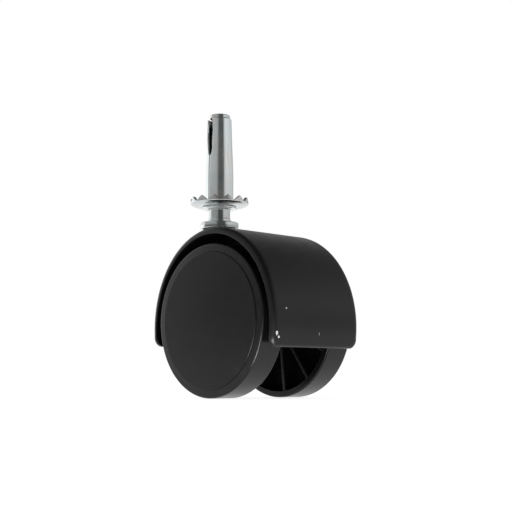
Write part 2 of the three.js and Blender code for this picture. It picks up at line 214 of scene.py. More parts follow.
# The slot, as (height, half width).
SLOT_OUTLINE = [
    (SLOT_BOTTOM, 0), (17.2, 0.4), (17.6, 0.65), (18.4, 0.8), (20, 1.05), (22, 1.38),
    (25, 1.22), (28.4, 0.78), (SLEEVE_TOP, 0.6),
]
SLOT_AZIMUTH = math.radians(-92)
FINGER_SPRING = 0.75
FINGER_DIP = 0.8
FINGER_REACH = 1.5
SEAM_HALF = 0.07
LIP_R = SLEEVE_HIGH.x
LIP_INNER_TOP = -1.1
LIP_INNER_ROUND = 0.5
LIP_OUTER_ROUND = 0.3
LIP_TOP_ROUND = 0.15
SHEET_INNER_ROUND = 0.15
COLLAR_R = 10.2
DISH_R = 6.4
COLLAR_HOLE_R = 4.95
COLLAR_PLATE = -COLLAR_LOW.z
COLLAR_FLOOR_RADII = [COLLAR_HOLE_R, 5.05, 5.2, 5.6, DISH_R]
COLLAR_EDGE_ROUND = 0.18
TEETH = 13
TOOTH_VALLEY = 0.25
TOOTH_SOFTNESS = 0.004
WALL_UNDER_VALLEY = 0.12
WALL_FOOT = TOOTH_VALLEY - WALL_UNDER_VALLEY
# Rows of the collar's wall, as shares of the way down from the teeth's edge to the wall's foot.
WALL_SHARES = [0.9, 0.6, 0.4, 0.22, 0.1, 0.04, 0.0]
TOOTH_TIP = COLLAR_HIGH.z
TOOTH_PHASE = math.radians(2.8)

# ---- Scrapes on the hood: (centre, half size) ----
HOOD_SCRAPES = [
    ((46.7, -18.05, -47.25), (1.2, 0.4, 0.65)),
    ((46.6, -17.2, -48.4), (1.2, 0.4, 0.4)),
    ((46.7, -13.87, -39.5), (1, 0.3, 0.3)),
    ((46.8, 0.68, -47), (1, 0.09, 0.55)),
]
SCRAPE_SHADE = 0.5
SCRAPE_ROUGHNESS = 0.8
SCRAPE_SCALE = 2600.0
SCRAPE_RAGGED = 1.3
SCRAPE_OUTSIDE = 1.75
SCRAPE_INSIDE = 1.45

# ---- Materials: scales are in blobs to the metre, depths in millimetres ----
NYLON_SHADE = 0.004
NYLON_DARK_CLOUD = 0.85
NYLON_PALE_CLOUD = 1.15
NYLON_IOR = 1.5
NYLON_SPECULAR = 0.28
NYLON_GRAIN_STRENGTH = 0.6
NYLON_CLOUD_SCALE = 90.0
NYLON_GLOSS_SCALE = 220.0
NYLON_GRAIN_SCALE = 3800.0
NYLON_GRAIN_DEPTH = 0.012
NYLON_RUBBED = 2.2
ZINC_CLOUD_SCALE = 160.0
ZINC_LINE_SCALE = 1800.0
ZINC_LINE_DEPTH = 0.01
ZINC_BLUE = (0.89, 0.98, 1.0)
ZINC_STRAW = (1.0, 0.99, 0.96)
ZINC_LINE_SHADE = 0.6
ZINC_LINE_STRENGTH = 0.25
ZINC_SMOOTHER = 0.05
ZINC_ROUGHER = 0.07

# ---- Studio: brightness at so many degrees round from the camera's side ----
LOW_STUDIO = [
    (-180, 0.5), (-165, 0.9), (-150, 1.8), (-110, 1.8), (-101, 0.6), (-95, 0.04), (-15, 0.02),
    (-12, 0.02), (40, 0.02), (52, 0.3), (65, 0.45), (120, 0.5), (160, 0.4), (180, 0.5),
]
HIGH_STUDIO = [
    (-180, 0.55), (-165, 0.85), (-150, 1.3), (-101, 1.25), (-96, 0.6), (-80, 0.6), (-30, 0.52),
    (-14, 0.4), (-9, 0.11), (36, 0.11), (45, 0.8), (60, 0.95), (120, 0.8), (150, 0.6), (180, 0.55),
]
LOW_STUDIO_TOP = math.sin(math.radians(7))
HIGH_STUDIO_BOTTOM = math.sin(math.radians(8.5))
HIGH_STUDIO_TOP = 0.35
OVERHEAD_BOTTOM = 0.8
OVERHEAD = 0.12

# ---- Floor, and the strip of light on it ----
FLOOR_REACH = 6000
FLOOR_SHADE = 0.6
FLOOR_ROUGHNESS = 0.8
FLOOR_GLOW = 0.85
STRIP_WIDTH = 14
STRIP_LENGTH = 60
STRIP_OVER_FLOOR = 0.5

# ---- Camera, measured from the axle's middle ----
CAMERA_AZIMUTH = math.radians(46.29)
CAMERA_ELEVATION = math.radians(-6.7)
CAMERA_DISTANCE = 345.9
CAMERA_LENS = 72.46
CAMERA_SENSOR = 36
CAMERA_NEAR = 10
AIM_RIGHT = 0.43
AIM_UP = 22.37


# ======== Small helpers ========
def between(table, at):
    """The value at a place in a table of (place, value) pairs, in straight stretches."""
    if at <= table[0][0]:
        return table[0][1]
    for (low, first), (high, last) in zip(table, table[1:]):
        if at <= high:
            return first + (last - first) * (at - low) / (high - low)
    return table[-1][1]


def rounded(corners, steps=8):
    """An outline of (x, y) points from (x, y, radius) corners, with an arc at each radius."""
    outline = []
    count = len(corners)
    for i, (x, y, radius) in enumerate(corners):
        if radius == 0:
            outline.append((x, y))
            continue
        here = Vector((x, y))
        back = (Vector(corners[i - 1][:2]) - here).normalized()
        ahead = (Vector(corners[(i + 1) % count][:2]) - here).normalized()
        half = back.angle(ahead) / 2
        inward = (back + ahead).normalized()
        centre = here + inward * radius / math.sin(half)
        middle = math.atan2(-inward.y, -inward.x)
        sweep = math.copysign(math.pi / 2 - half, ahead.cross(back))
        for k in range(steps + 1):
            turn = middle + sweep * (2 * k / steps - 1)
            outline.append((centre.x + radius * math.cos(turn), centre.y + radius * math.sin(turn)))
    return outline


def direction(turn, rise):
    """A step of length one, at that turn round from -Y and that rise over the horizon."""
    return Vector((math.sin(turn) * math.cos(rise), -math.cos(turn) * math.cos(rise), math.sin(rise)))


def in_scene(name, data):
    """A new object in the scene that shows some data."""
    made = bpy.data.objects.new(name, data)
    bpy.context.scene.collection.objects.link(made)
    return made


def about_stem(x, y, height):
    """Places a shape turned about the stem, whose axis is the frame's own Z axis."""
    return Vector((x, y, height)) * MM


def about_axle(side):
    """Places a shape turned about the axle, with heights running outwards on one side."""
    def place(x, y, height):
        return Vector((AXLE_X + x, side * height, AXLE_Z - side * y)) * MM
    return place


class Shape:
    """A mesh being made from turned outlines, shells, plates and blocks."""

    def __init__(self):
        self.mesh = bmesh.new()

    def grid(self, rows, wrap_rows=False, wrap_columns=False, left_out=frozenset()):
        """Joins rows of corners with quads, apart from the (row, column) cells left out."""
        count = len(rows)
        width = len(rows[0])
        for i in range(count if wrap_rows else count - 1):
            for j in range(width if wrap_columns else width - 1):
                if (i, j) in left_out:
                    continue
                quad = [
                    rows[i][j],
                    rows[i][(j + 1) % width],
                    rows[(i + 1) % count][(j + 1) % width],
                    rows[(i + 1) % count][j],
                ]
                kept = list(dict.fromkeys(quad))
                if len(kept) > 2:
                    self.mesh.faces.new(kept)

    def turned(self, outline, place, segments=ROUND_SEGMENTS):
        """A solid turned from a closed (radius, height) outline."""
        rings = []
        for radius, height in outline:
            if radius == 0:
                rings.append([self.mesh.verts.new(place(0, 0, height))] * segments)
                continue
            turns = (2 * math.pi * k / segments for k in range(segments))
            rings.append([
                self.mesh.verts.new(place(radius * math.cos(turn), radius * math.sin(turn), height))
                for turn in turns
            ])
        on_axis = outline[0][0] == 0 and outline[-1][0] == 0
        self.grid(rings, wrap_rows=not on_axis, wrap_columns=True)

    def shell(self, columns, place, thickness, outer_round, inner_round, closed=False, hole=None):
        """A curved plate with rounded edges.

        columns hold (u, v, distance to the nearest edge); place(u, v, depth) puts a point
        that far below the outer surface. A closed shell joins its last column to its first.
        Where hole(point at half depth) is true for the middle of a cell, the plate is open.
        """
        def drop(radius, distance):
            left = radius - min(max(distance, 0), radius)
            return radius - math.sqrt(radius**2 - left**2)

        outer, inner = [], []
        for column in columns:
            outer.append([
                self.mesh.verts.new(place(u, v, drop(outer_round(u, v), d))) for u, v, d in column
            ])
            inner.append([
                self.mesh.verts.new(place(u, v, thickness(u, v) - drop(inner_round, d)))
                for u, v, d in column
            ])
        left_out = self.open_cells(outer, inner, hole) if hole else frozenset()
        self.grid(outer, wrap_rows=closed, left_out=left_out)
        self.grid(inner, wrap_rows=closed, left_out=left_out)
        self.hole_wall(outer, inner, left_out)
        for end in (0, -1):
            self.grid([[c[end] for c in outer], [c[end] for c in inner]], wrap_columns=closed)
        if not closed:
            for end in (0, -1):
                self.grid([outer[end], inner[end]])

    @staticmethod
    def open_cells(outer, inner, hole):
        """The (row, column) cells of a shell whose middle lies in the hole."""
        cells = set()
        for i in range(len(outer) - 1):
            for j in range(len(outer[0]) - 1):
                spots = [rows[a][b].co for rows in (outer, inner) for a in (i, i + 1) for b in (j, j + 1)]
                if hole(sum(spots, Vector()) / len(spots)):
                    cells.add((i, j))
        return cells

    def hole_wall(self, outer, inner, cells):
        """Joins the outer and inner surfaces along the edge of the cells left out."""
        for i, j in cells:
            sides = {
                (i - 1, j): ((i, j), (i, j + 1)),
                (i + 1, j): ((i + 1, j), (i + 1, j + 1)),
                (i, j - 1): ((i, j), (i + 1, j)),
                (i, j + 1): ((i, j + 1), (i + 1, j + 1)),
            }
            for neighbour, ((a, b), (c, d)) in sides.items():
                if neighbour not in cells:
                    self.mesh.faces.new([outer[a][b], outer[c][d], inner[c][d], inner[a][b]])

    def plate(self, outline, half):
        """A flat plate with one outline of (x, height) points, on both sides of the middle plane."""
        sides = [[self.mesh.verts.new(about_stem(x, y, z)) for x, z in outline] for y in (-half, half)]
        self.grid(sides, wrap_columns=True)
        for side in sides:
            self.mesh.faces.new(side)

    def block(self, corners, bevel):
        """A six-sided block from its four lower and four upper corners, with rounded edges."""
        verts = [self.mesh.verts.new(Vector(corner) * MM) for corner in corners]
        low, high = verts[:4], verts[4:]
        faces = [low, high]
        for k in range(4):
            faces.append([low[k], low[(k + 1) % 4], high[(k + 1) % 4], high[k]])
        made = [self.mesh.faces.new(face) for face in faces]
        bmesh.ops.recalc_face_normals(self.mesh, faces=made)
        edges = list({edge for face in made for edge in face.edges})
        bmesh.ops.bevel(
            self.mesh, geom=edges, offset=bevel * MM, segments=3, affect="EDGES", profile=0.5
        )

    def piece(self, name, body, node, material):
        """Ends the mesh as a piece that rides on a body and stands for a CAD node."""
        bmesh.ops.recalc_face_normals(self.mesh, faces=self.mesh.faces)
        for face in self.mesh.faces:
            face.smooth = True
        for edge in self.mesh.edges:
            edge.smooth = len(edge.link_faces) == 2 and edge.calc_face_angle() < SMOOTH_ANGLE
        data = bpy.data.meshes.new(name)
        self.mesh.to_mesh(data)
        self.mesh.free()
        made = in_scene(name, data)
        made.data.materials.append(material)
        made.modifiers.new("flat_faces_stay_flat", "WEIGHTED_NORMAL").keep_sharp = True
        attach(made, body)
        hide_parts(node)
        return made


# ======== Materials ========
class Nodes:
    """Short forms for building one material's or the world's node tree."""

    def __init__(self, owner):
        owner.use_nodes = True
        self.tree = owner.node_tree
        self.tree.nodes.clear()

    def add(self, kind, inputs=None, **settings):
        node = self.tree.nodes.new(kind)
        for name, value in settings.items():
            setattr(node, name, value)
        for name, value in (inputs or {}).items():
            if isinstance(value, bpy.types.NodeSocket):
                self.tree.links.new(value, node.inputs[name])
            else:
                node.inputs[name].default_value = value
        return node

    def math(self, operation, first, second=0.0):
        return self.add("ShaderNodeMath", {0: first, 1: second}, operation=operation).outputs[0]

    def noise(self, vector, scale, detail=4.0, roughness=0.55):
        inputs = {"Vector": vector, "Scale": scale, "Detail": detail, "Roughness": roughness}
        return self.add("ShaderNodeTexNoise", inputs).outputs["Fac"]

    def spread(self, value, low, high, to_low=0.0, to_high=1.0):
        inputs = {0: value, 1: low, 2: high, 3: to_low, 4: to_high}
        return self.add("ShaderNodeMapRange", inputs, clamp=True).outputs[0]

    def mix(self, factor, first, second):
        inputs = {0: factor, 6: first, 7: second}
        return self.add("ShaderNodeMix", inputs, data_type="RGBA").outputs[2]

    def finish(self, shader):
        self.tree.links.new(shader.outputs[0], self.add("ShaderNodeOutputMaterial").inputs[0])


def grey(value, tint=(1, 1, 1)):
    return (value * tint[0], value * tint[1], value * tint[2], 1)


def nicks(nodes, place, marks):
    """A mask of small scrapes: (centre in mm, half size in mm) spots with broken outlines."""
    ragged = nodes.noise(place, SCRAPE_SCALE, detail=6.0, roughness=0.7)
    mask = 0.0
    for centre, half_size in marks:
        inputs = {0: place, 1: Vector(centre) * MM}
        offset = nodes.add("ShaderNodeVectorMath", inputs, operation="SUBTRACT").outputs[0]
        inputs = {0: offset, 1: Vector(half_size) * MM}
        scaled = nodes.add("ShaderNodeVectorMath", inputs, operation="DIVIDE").outputs[0]
        length = nodes.add("ShaderNodeVectorMath", {0: scaled}, operation="LENGTH").outputs["Value"]
        distance = nodes.math("ADD", length, nodes.math("MULTIPLY", ragged, SCRAPE_RAGGED))
        mask = nodes.math("MAXIMUM", mask, nodes.spread(distance, SCRAPE_OUTSIDE, SCRAPE_INSIDE))
    return mask


def nylon(name, roughness, cloudiness=0.04, marks=()):
    """Satin moulded nylon: fine grain, cloudy gloss, paler rubbed edges and optional scrapes."""
    material = bpy.data.materials.new(name)
    nodes = Nodes(material)
    place = nodes.add("ShaderNodeTexCoord").outputs["Object"]
    cloud = nodes.noise(place, NYLON_CLOUD_SCALE)
    grain = nodes.noise(place, NYLON_GRAIN_SCALE, detail=2.0)
    edge = nodes.add("ShaderNodeNewGeometry").outputs["Pointiness"]
    rubbed = nodes.math("MULTIPLY", nodes.spread(edge, 0.52, 0.6), nodes.spread(cloud, 0.35, 0.65))
    dark, pale = grey(NYLON_SHADE * NYLON_DARK_CLOUD), grey(NYLON_SHADE * NYLON_PALE_CLOUD)
    colour = nodes.mix(nodes.spread(cloud, 0.3, 0.7), dark, pale)
    colour = nodes.mix(rubbed, colour, grey(NYLON_SHADE * NYLON_RUBBED))
    patches = nodes.noise(place, NYLON_GLOSS_SCALE)
    gloss = nodes.spread(patches, 0.3, 0.7, roughness - cloudiness, roughness + cloudiness)
    if marks:
        scrape = nicks(nodes, place, marks)
        colour = nodes.mix(scrape, colour, grey(SCRAPE_SHADE))
        gloss = nodes.math("MAXIMUM", gloss, nodes.math("MULTIPLY", scrape, SCRAPE_ROUGHNESS))
    inputs = {"Strength": NYLON_GRAIN_STRENGTH, "Distance": NYLON_GRAIN_DEPTH * MM, "Height": grain}
    bump = nodes.add("ShaderNodeBump", inputs)
    nodes.finish(nodes.add("ShaderNodeBsdfPrincipled", {
        "Base Color": colour,
        "Roughness": gloss,
        "IOR": NYLON_IOR,
        "Specular IOR Level": NYLON_SPECULAR,
        "Normal": bump.outputs[0],
    }))
    return material


def zinc(name, streaks, shade=0.74, roughness=0.19):
    """Bright zinc plate: cloudy, faintly blue and straw tinted, with fine lines of forming."""
    material = bpy.data.materials.new(name)
    nodes = Nodes(material)
    place = nodes.add("ShaderNodeTexCoord").outputs["Object"]
    stretched = nodes.add("ShaderNodeMapping", {"Vector": place, "Scale": streaks}).outputs[0]
    lines = nodes.noise(stretched, ZINC_LINE_SCALE, detail=3.0)
    cloud = nodes.noise(place, ZINC_CLOUD_SCALE)
    patches = nodes.spread(cloud, 0.35, 0.65)
    tint = nodes.mix(patches, grey(shade, ZINC_BLUE), grey(shade, ZINC_STRAW))
    colour = nodes.mix(nodes.spread(lines, 0.35, 0.75, 0.0, 0.35), tint, grey(shade * ZINC_LINE_SHADE))
    gloss = nodes.spread(cloud, 0.3, 0.7, roughness - ZINC_SMOOTHER, roughness + ZINC_ROUGHER)
    inputs = {"Strength": ZINC_LINE_STRENGTH, "Distance": ZINC_LINE_DEPTH * MM, "Height": lines}
    bump = nodes.add("ShaderNodeBump", inputs)
    nodes.finish(nodes.add("ShaderNodeBsdfPrincipled", {
        "Base Color": colour,
        "Metallic": 1.0,
        "Roughness": gloss,
        "Normal": bump.outputs[0],
    }))
    return material


# ======== Pieces ========
def wheel(side, body, node, material):
    """The turned moulding of one wheel, and its ribs."""
    place = about_axle(side)
    shape = Shape()
    shape.turned(rounded([
        (WHEEL_BORE_R, HUB_INNER, 0),
        (HUB_R, HUB_INNER, HUB_ROUND),
        (HUB_R, WEB_INNER, HUB_FILLET),
        (RIM_BORE_R, WEB_INNER, RIM_FILLET),
        (RIM_BORE_R, RIM_INNER, RIM_BORE_ROUND),
        (WHEEL_R, RIM_INNER, TREAD_START_ROUND),
        (WHEEL_R, TREAD_END, TREAD_END_ROUND),
        (RECESS_R, SHOULDER, SHOULDER_ROUND),
        (RECESS_R, WEB_OUTER, 0),
        (CLIP_POCKET_R, WEB_OUTER, 0),
        (CLIP_POCKET_R, HUB_OUTER, 0),
        (WHEEL_BORE_R, HUB_OUTER, 0),
    ]), place)
    for k in range(RIBS):
        rib(shape, place, RIB_PHASE + 2 * math.pi * k / RIBS)
    return shape.piece(f"{node}_moulding", body, node, material)


def rib(shape, place, turn):
    """One radial rib, thinner at its open edge than at the web."""
    along = Vector((math.cos(turn), math.sin(turn)))
    across = Vector((-along.y, along.x))
    corners = []
    start, end = HUB_R - RIB_SUNK, RIM_BORE_R + RIB_SUNK
    for height, thick in ((RIB_EDGE, RIB_EDGE_THICK), (WEB_INNER + RIB_SUNK, RIB_ROOT_THICK)):
        half_thick = thick / 2
        for radius, half in (
            (start, -half_thick),
            (end, -half_thick),
            (end, half_thick),
            (start, half_thick),
        ):
            spot = along * radius + across * half
            corners.append(place(spot.x, spot.y, height) / MM)
    shape.block(corners, RIB_ROUND)


def wheel_cover(side, body, node, material):
    """The disc in one wheel's outer side: faintly crowned, with a short skirt behind it."""
    shape = Shape()
    shape.turned(rounded([
        (0, COVER_BACK, 0),
        (COVER_SKIRT_INNER_R, COVER_BACK, 0),
        (COVER_SKIRT_INNER_R, COVER_BACK - COVER_SKIRT, COVER_SKIRT_ROUND),
        (COVER_SKIRT_OUTER_R, COVER_BACK - COVER_SKIRT, COVER_SKIRT_ROUND),
        (COVER_R, COVER_BACK + COVER_BACK_BEVEL, 0),
        (COVER_R, COVER_FACE, COVER_EDGE_ROUND),
        (COVER_CROWN_R, COVER_FACE + COVER_CROWN_RISE, 0),
        (0, COVER_FACE + COVER_MIDDLE_RISE, 0),
    ]), about_axle(side))
    return shape.piece(f"{node}_disc", body, node, material)


class HoodCurve:
    """The hood's section as a path measured in millimetres from its front edge to its rear."""

    def __init__(self):
        start = math.pi - math.asin((self.edge_height(-HOOD_A) - HOOD_Z) / HOOD_B)
        end = math.asin((self.edge_height(HOOD_A) - HOOD_Z) / HOOD_B)
        self.turns = []
        travelled = 0
        last = None
        for k in range(HOOD_CURVE_STEPS + 1):
            turn = start + (end - start) * k / HOOD_CURVE_STEPS
            here = self.point(turn)
            travelled += (here - last).length if last else 0
            self.turns.append((travelled, turn))
            last = here
        self.length = travelled

    @staticmethod
    def edge_height(from_axle):
        """Height of the hood's sloping lower edge, that far behind the axle."""
        return AXLE_Z + HOOD_SKIRT + from_axle * HOOD_CUT_SLOPE

    @staticmethod
    def point(turn):
        return Vector((HOOD_X + HOOD_A * math.cos(turn), HOOD_Z + HOOD_B * math.sin(turn)))

    def place(self, along, y, depth):
        """A point that far along the section and across it, and below the outer surface."""
        turn = between(self.turns, along)
        normal = Vector((HOOD_B * math.cos(turn), HOOD_A * math.sin(turn))).normalized()
        level = math.exp(-min(along, self.length - along) / HOOD_END_FADE)
        normal = (normal * (1 - level) + Vector((math.copysign(1, normal.x), 0)) * level).normalized()
        spot = self.point(turn) - normal * depth
        return Vector((spot.x, y, spot.y)) * MM


def edge_steps(length, fine, count):
    """Places from 0 to length: the fine ones from both ends, and count even steps between."""
    inner = length - 2 * fine[-1]
    middle = [fine[-1] + inner * k / count for k in range(1, count)]
    return fine + middle + [length - step for step in reversed(fine)]


def hood_shell(shape):
    """The curved plate over both wheels, with rounded corners and rims, open over the stem's bore."""
    curve = HoodCurve()
    columns = []
    for along in edge_steps(curve.length, HOOD_END_STEPS, HOOD_STEPS_ALONG):
        to_end = min(along, curve.length - along)
        into_corner = max(HOOD_CORNER_R - to_end, 0)
        half = HOOD_HALF - HOOD_CORNER_R + math.sqrt(HOOD_CORNER_R**2 - into_corner**2)
        column = []
        for step in edge_steps(2 * half, HOOD_RIM_STEPS, HOOD_STEPS_ACROSS):
            y = step - half
            into_side = max(abs(y) - HOOD_HALF + HOOD_CORNER_R, 0)
            if into_corner and into_side:
                distance = HOOD_CORNER_R - math.hypot(into_corner, into_side)
            else:
                distance = min(to_end, HOOD_HALF - abs(y))
            column.append((along, y, max(distance, 0)))
        columns.append(column)

    def outer_round(along, y):
        to_end = min(along, curve.length - along)
        to_rim = HOOD_HALF - abs(y)
        share = min(max((to_end - to_rim) / HOOD_CORNER_R / 2 + 0.5, 0), 1)
        return HOOD_LIP_ROUND + (HOOD_RIM_ROUND - HOOD_LIP_ROUND) * share

    def thickness(along, _):
        return HOOD_WALL + HOOD_CROWN_WALL * math.sin(math.pi * along / curve.length)

    def over_bore(spot):
        return math.hypot(spot.x, spot.y) < BORE_CLEAR_R * MM

    shape.shell(columns, curve.place, thickness, outer_round, HOOD_INNER_ROUND, hole=over_bore)


def hood_height(x):
    """Height of the hood's outer surface over a place on the X axis."""
    return HOOD_Z + HOOD_B * math.sqrt(max(1 - ((x - HOOD_X) / HOOD_A)**2, 0))


def stem_boss(shape):
    """The boss that holds the stem, with a blind bore, and its fillet."""
    outline = [(radius, BOSS_TOP + drop) for radius, drop in BOSS_OUTLINE]
    shape.turned([
        (0, BOSS_BOTTOM + BOSS_FLOOR),
        (BOSS_BORE_R, BOSS_BOTTOM + BOSS_FLOOR),
        (BOSS_BORE_R, BOSS_TOP - BOSS_MOUTH_BEVEL),
        (BOSS_BORE_R + BOSS_MOUTH_BEVEL, BOSS_TOP),
        *outline,
        (BOSS_R, BOSS_BOTTOM + BOSS_FOOT_BEVEL),
        (BOSS_R - BOSS_FOOT_BEVEL, BOSS_BOTTOM),
        (0, BOSS_BOTTOM),
    ], about_stem)
    boss_weld(shape)


def meeting_height(wall, turn):
    """Where the boss's wall, as (height, radius) pairs, meets the hood at that turn."""
    low, high = BOSS_BOTTOM, BOSS_TOP
    for _ in range(HALVINGS):
        middle = (low + high) / 2
        if hood_height(between(wall, middle) * math.cos(turn)) > middle:
            low = middle
        else:
            high = middle
    return low


def boss_weld(shape):
    """The fillet between the stem boss and the top of the hood."""
    wall = [(BOSS_TOP + drop, radius) for radius, drop in reversed(BOSS_OUTLINE)]
    rings = []
    for k in range(ROUND_SEGMENTS):
        turn = 2 * math.pi * k / ROUND_SEGMENTS
        low = meeting_height(wall, turn)
        radius = between(wall, low)
        foot = radius + BOSS_WELD
        top = min(low + BOSS_WELD, BOSS_TOP - WELD_UNDER_TOP)
        path = [
            Vector((between(wall, top), top)),
            Vector((radius, low)),
            Vector((foot, hood_height(foot * math.cos(turn)))),
        ]
        spots = [Vector((radius - WELD_SUNK, low - WELD_SUNK))]
        for step in range(WELD_STEPS + 1):
            t = step / WELD_STEPS
            spots.append(path[0] * (1 - t)**2 + path[1] * 2 * t * (1 - t) + path[2] * t**2)
        rings.append([
            shape.mesh.verts.new(about_stem(spot.x * math.cos(turn), spot.x * math.sin(turn), spot.y))
            for spot in spots
        ])
    shape.grid(rings, wrap_rows=True, wrap_columns=True)


def middle_web(shape):
    """The plate between the two bosses and the hood's roof, clear of the stem's and axle's bores."""
    first, last = BORE_CLEAR_R, HOOD_X + WEB_REAR
    underside = [
        (first, BOSS_BOTTOM - WEB_UNDER_BOSS),
        (AXLE_X - INSIDE_BOSS, AXLE_Z - WEB_UNDER_AXLE),
        (AXLE_X - BESIDE_BORE, AXLE_Z + WEB_OVER_AXLE),
        (AXLE_X, AXLE_Z + INSIDE_BOSS),
        (AXLE_X + BESIDE_BORE, AXLE_Z + WEB_OVER_AXLE),
    ]
    spots = [last + (first - last) * k / ROOF_STEPS for k in range(ROOF_STEPS + 1)]
    roof = [(x, hood_height(x) - HOOD_WALL / 2) for x in spots]
    shape.plate(underside + roof, WEB_THICK / 2)


def axle_boss(shape):
    """The bored boss between the wheels, which holds the axle."""
    shape.turned(rounded([
        (AXLE_BORE_R, -AXLE_BOSS_HALF, 0),
        (AXLE_BOSS_R, -AXLE_BOSS_HALF, AXLE_BOSS_ROUND),
        (AXLE_BOSS_R, AXLE_BOSS_HALF, AXLE_BOSS_ROUND),
        (AXLE_BORE_R, AXLE_BOSS_HALF, 0),
    ]), about_axle(1))


def hood(material):
    """The whole hood moulding: plate, bosses and web."""
    shape = Shape()
    hood_shell(shape)
    stem_boss(shape)
    middle_web(shape)
    axle_boss(shape)
    return shape.piece("hood_moulding", "hood", "housing", material)


def stem(material):
    """The turned stem, from its shank in the hood up to its head over the sleeve."""
    ring_bottom, ring_top = RING_LOW.z - RING_PLAY, RING_HIGH.z + RING_PLAY
    shape = Shape()
    shape.turned(rounded([
        (0, STEM_LOW.z, 0),
        (SHANK_END_R, STEM_LOW.z, STEM_ROUND),
        (SHANK_R, STEM_LOW.z + SHANK_END_HEIGHT, STEM_WIDE_ROUND),
        (SHANK_R, ring_bottom, 0),
        (RING_GROOVE_R, ring_bottom, 0),
        (RING_GROOVE_R, ring_top, 0),
        (SHANK_R, ring_top, 0),
        (SHANK_R, FLANGE_BOTTOM, 0),
        (FLANGE_R, FLANGE_BOTTOM, STEM_ROUND),
        (FLANGE_R, FLANGE_TOP, STEM_WIDE_ROUND),
        (NECK_FOOT_R, FLANGE_TOP, FLANGE_FILLET),
        (NECK_FOOT_R, NECK_FOOT_TOP, STEM_SMALL_ROUND),
        (NECK_R, NECK_BOTTOM, STEM_SMALL_ROUND),
        (NECK_R, NECK_TOP, TAPER_ROUND),
        (TIP_R + TIP_TAPER, TIP_BOTTOM, TAPER_ROUND),
        (TIP_R, GROOVE_BOTTOM - GROOVE_BEVEL, STEM_ROUND),
        (GROOVE_R, GROOVE_BOTTOM, STEM_SMALL_ROUND),
        (GROOVE_R, GROOVE_TOP, STEM_SMALL_ROUND),
        (HEAD_R, HEAD_BOTTOM, HEAD_UNDER_ROUND),
        (HEAD_R, STEM_HIGH.z, STEM_ROUND),
        (0, STEM_HIGH.z, 0),
    ]), about_stem)
    return shape.piece("stem_turned_pin", "stem", "stem_pin", material)


def sleeve(material):
    """The rolled sleeve: its long edges meet in a seam and part to form the slot."""
    columns = []
    for step in edge_steps(SLEEVE_TOP - SLEEVE_BOTTOM, SLEEVE_EDGE_STEPS, SLEEVE_STEPS_UP):
        height = SLEEVE_BOTTOM + step
        radius = between(SLEEVE_OUTLINE, height)
        gap = max(SEAM_HALF, between(SLOT_OUTLINE, height)) if height > SLOT_BOTTOM else SEAM_HALF
        start = math.asin(gap / radius)
        fine = [value / radius for value in SLEEVE_EDGE_STEPS]
        round_it = 2 * (math.pi - start)
        column = []
        for part in edge_steps(round_it, fine, SLEEVE_STEPS_ROUND):
            to_edge = min(part, round_it - part) * radius
            column.append((start + part, height, min(to_edge, SLEEVE_TOP - height)))
        columns.append(column)

    def place(turn, height, depth):
        share = max(height - SLOT_BOTTOM, 0) / (SLEEVE_TOP - SLOT_BOTTOM)
        near = max(1 - (2 * math.pi - turn) / FINGER_REACH, 0)
        sprung = math.sin(near * math.pi / 2)**2
        radius = between(SLEEVE_OUTLINE, height) - depth + FINGER_SPRING * share * sprung
        azimuth = SLOT_AZIMUTH + turn
        dropped = height - FINGER_DIP * share**4 * sprung
        return about_stem(radius * math.cos(azimuth), radius * math.sin(azimuth), dropped)

    shape = Shape()
    shape.shell(
        columns, place, lambda u, v: SLEEVE_WALL, lambda u, v: SLEEVE_EDGE_ROUND, SHEET_INNER_ROUND
    )
    bottom_r = SLEEVE_OUTLINE[0][1]
    shape.turned(rounded([
        (bottom_r - SLEEVE_WALL, LIP_INNER_TOP, 0),
        (bottom_r - SLEEVE_WALL, SLEEVE_LOW.z, LIP_INNER_ROUND),
        (LIP_R, SLEEVE_LOW.z, LIP_OUTER_ROUND),
        (LIP_R, SLEEVE_BOTTOM, LIP_TOP_ROUND),
        (bottom_r, SLEEVE_BOTTOM, 0),
        (bottom_r, LIP_INNER_TOP, 0),
    ]), about_stem)
    return shape.piece("socket_rolled_sleeve", "socket", "socket_sleeve", material)


def collar_path():
    """The dished collar's section below its teeth, as (outer point, inner point) pairs."""
    wall_r = COLLAR_R - COLLAR_PLATE
    path = [
        (Vector((radius, -COLLAR_PLATE)), Vector((radius, 0)))
        for radius in COLLAR_FLOOR_RADII
    ]
    for step in range(1, DISH_STEPS + 1):
        turn = math.radians(90 * step / DISH_STEPS)
        out, up = math.sin(turn), 1 - math.cos(turn)
        path.append((
            Vector((DISH_R + (COLLAR_R - DISH_R) * out, WALL_FOOT * up - COLLAR_PLATE * (1 - up))),
            Vector((DISH_R + (wall_r - DISH_R) * out, WALL_FOOT * up)),
        ))
    return path


def tooth_height(turn):
    """Top edge of the collar's wall: straight-sided teeth with small rounds."""
    along = (turn - TOOTH_PHASE) * TEETH / (2 * math.pi)
    from_tip = abs((along + 0.5) % 1 - 0.5) * 2
    blunt = math.sqrt(TOOTH_SOFTNESS)
    softened = math.sqrt(from_tip**2 + TOOTH_SOFTNESS) - blunt
    return TOOTH_TIP - (TOOTH_TIP - TOOTH_VALLEY) * softened / (math.sqrt(1 + TOOTH_SOFTNESS) - blunt)


